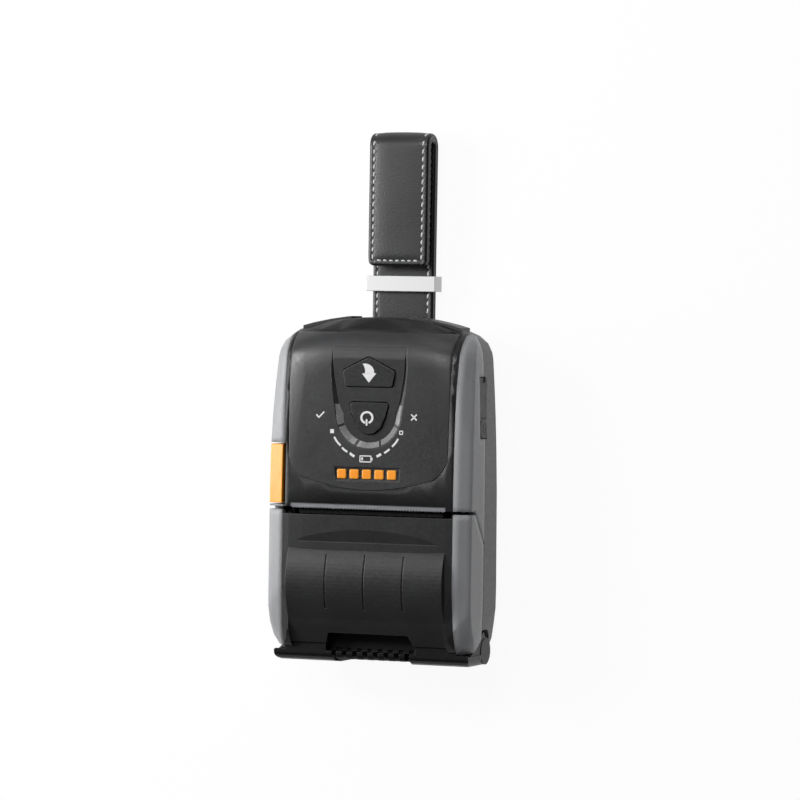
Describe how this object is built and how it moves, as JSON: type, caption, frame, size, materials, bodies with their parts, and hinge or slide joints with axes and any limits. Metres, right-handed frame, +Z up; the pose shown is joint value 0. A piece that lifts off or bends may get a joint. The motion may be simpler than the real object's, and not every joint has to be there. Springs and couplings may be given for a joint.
{
  "type": "portable receipt printer",
  "caption": "Palm-sized receipt printer with a round paper cover, grey side bumpers, an orange cover button and a leather belt strap.",
  "frame": {"origin": "centre of the flat underside, midway between the side bumpers", "axes": "+Z up through the button panel, +Y towards the strap, +X to the side with the sockets"},
  "size_m": [0.081, 0.1992, 0.0429],
  "materials": {
    "black_plastic": "satin",
    "panel_plastic": "satin",
    "grey_plastic": "satin",
    "orange_plastic": "gloss",
    "milky_plastic": "satin",
    "white_plastic": "satin",
    "steel": "brushed",
    "bright_metal": "polished",
    "brass": "satin",
    "rubber": "matt",
    "leather": "grained",
    "board": "satin"
  },
  "bodies": {
    "base": {"bottom_shell": "black_plastic", "top_shell": "black_plastic", "side_bumper_left": "grey_plastic", "side_bumper_right": "grey_plastic", "panel_plate": "panel_plastic", "button_bezel": "black_plastic", "light_guide": "milky_plastic", "badge_inlay": "orange_plastic", "port_anchor": "rubber", "tear_bar": "bright_metal", "mech_frame": "black_plastic", "stepper_motor": "steel", "gear_studs": "steel", "main_board": "board", "board_parts": "panel_plastic", "key_switches": "steel", "input_board": "board", "usb_socket": "bright_metal", "charge_jack": "panel_plastic", "paper_sensor": "panel_plastic", "battery_contacts": "brass", "contact_block": "panel_plastic", "case_screws": "steel", "strap_bar": "steel", "paper_bay": "panel_plastic", "head_springs": "steel", "release_spring": "steel"},
    "cover": {"paper_cover": "black_plastic", "cover_frame": "panel_plastic", "cover_bumper_left": "grey_plastic", "cover_bumper_right": "grey_plastic", "hinge_bar": "black_plastic", "hinge_pins": "steel", "hinge_caps": "panel_plastic", "platen_bushes": "white_plastic"},
    "platen": {"platen_shaft": "steel", "platen_roller": "rubber", "platen_gear": "white_plastic"},
    "head": {"print_head": "bright_metal"},
    "idler": {"idler_gear": "white_plastic"},
    "reduction": {"reduction_gear": "white_plastic"},
    "rotor": {"motor_shaft": "steel", "motor_pinion": "brass"},
    "feed_key": {"feed_button": "panel_plastic"},
    "power_key": {"power_button": "panel_plastic"},
    "release": {"release_button": "orange_plastic"},
    "latch": {"latch_lever": "steel"},
    "port_flap": {"port_cover": "rubber"},
    "battery": {"battery_pack": "panel_plastic"},
    "battery_catch": {"battery_latch": "black_plastic"},
    "strap": {"strap_back": "leather", "snap_stud": "brass"},
    "flap": {"strap_flap": "leather", "snap_socket": "brass"},
    "keeper": {"strap_keeper": "bright_metal"}
  },
  "joints": [
    {"name": "cover_hinge", "type": "hinge", "parent": "base", "child": "cover", "pos_m": [0, -0.0594, 0.0148], "axis": [1, 0, 0], "range_deg": [0, 100]},
    {"name": "platen_spin", "type": "hinge", "parent": "cover", "child": "platen", "pos_m": [0, -0.0136, 0.0325], "axis": [1, 0, 0], "continuous": true},
    {"name": "idler_spin", "type": "hinge", "parent": "base", "child": "idler", "pos_m": [0.0338, -0.01036, 0.02411], "axis": [1, 0, 0], "continuous": true},
    {"name": "reduction_spin", "type": "hinge", "parent": "base", "child": "reduction", "pos_m": [0.0345, -0.00356, 0.02241], "axis": [1, 0, 0], "continuous": true},
    {"name": "motor_spin", "type": "hinge", "parent": "base", "child": "rotor", "pos_m": [0.0355, 0.00825, 0.02033], "axis": [1, 0, 0], "continuous": true},
    {"name": "head_pivot", "type": "hinge", "parent": "base", "child": "head", "pos_m": [0, -0.00825, 0.0235], "axis": [-1, 0, 0], "range_deg": [0, 1.5], "stiffness_Nm_per_rad": 2, "springref_deg": -2.86, "deforming": ["head_springs"]},
    {"name": "feed_press", "type": "slide", "parent": "base", "child": "feed_key", "axis": [0, 0, -1], "range_m": [0, 0.0006], "stiffness_N_per_m": 800, "springref_m": -0.0005},
    {"name": "power_press", "type": "slide", "parent": "base", "child": "power_key", "axis": [0, 0, -1], "range_m": [0, 0.0006], "stiffness_N_per_m": 800, "springref_m": -0.0005},
    {"name": "release_slide", "type": "slide", "parent": "base", "child": "release", "axis": [1, 0, 0], "range_m": [0, 0.0015], "stiffness_N_per_m": 600, "springref_m": -0.001, "deforming": ["release_spring"]},
    {"name": "latch_turn", "type": "hinge", "parent": "base", "child": "latch", "pos_m": [-0.0341, -0.0092, 0.0225], "axis": [-1, 0, 0], "range_deg": [0, 12.2]},
    {"name": "port_flap_hinge", "type": "hinge", "parent": "base", "child": "port_flap", "pos_m": [0.0393, 0.0279, 0.0233], "axis": [0, 0, -1], "range_deg": [0, 110]},
    {"name": "battery_slide", "type": "slide", "parent": "base", "child": "battery", "axis": [0, 0, -1], "range_m": [0, 0.02]},
    {"name": "battery_catch_slide", "type": "slide", "parent": "base", "child": "battery_catch", "axis": [0, -1, 0], "range_m": [0, 0.0015], "stiffness_N_per_m": 500, "springref_m": -0.001},
    {"name": "strap_swing", "type": "hinge", "parent": "base", "child": "strap", "pos_m": [0, 0.061, 0.0053], "axis": [1, 0, 0], "range_deg": [-2.5, 45]},
    {"name": "flap_open", "type": "hinge", "parent": "strap", "child": "flap", "pos_m": [0, 0.1295, 0.0135], "axis": [-1, 0, 0], "range_deg": [0, 110]},
    {"name": "keeper_slide", "type": "slide", "parent": "strap", "child": "keeper", "axis": [0, 1, 0], "range_m": [-0.003, 0.003]}
  ],
  "couplings": [
    {"joint": "idler_spin", "follows": "platen_spin", "ratio": -1.25},
    {"joint": "reduction_spin", "follows": "platen_spin", "ratio": 1.6667},
    {"joint": "motor_spin", "follows": "platen_spin", "ratio": -5},
    {"joint": "latch_turn", "follows": "release_slide", "rad_per_m": 139.6}
  ]
}
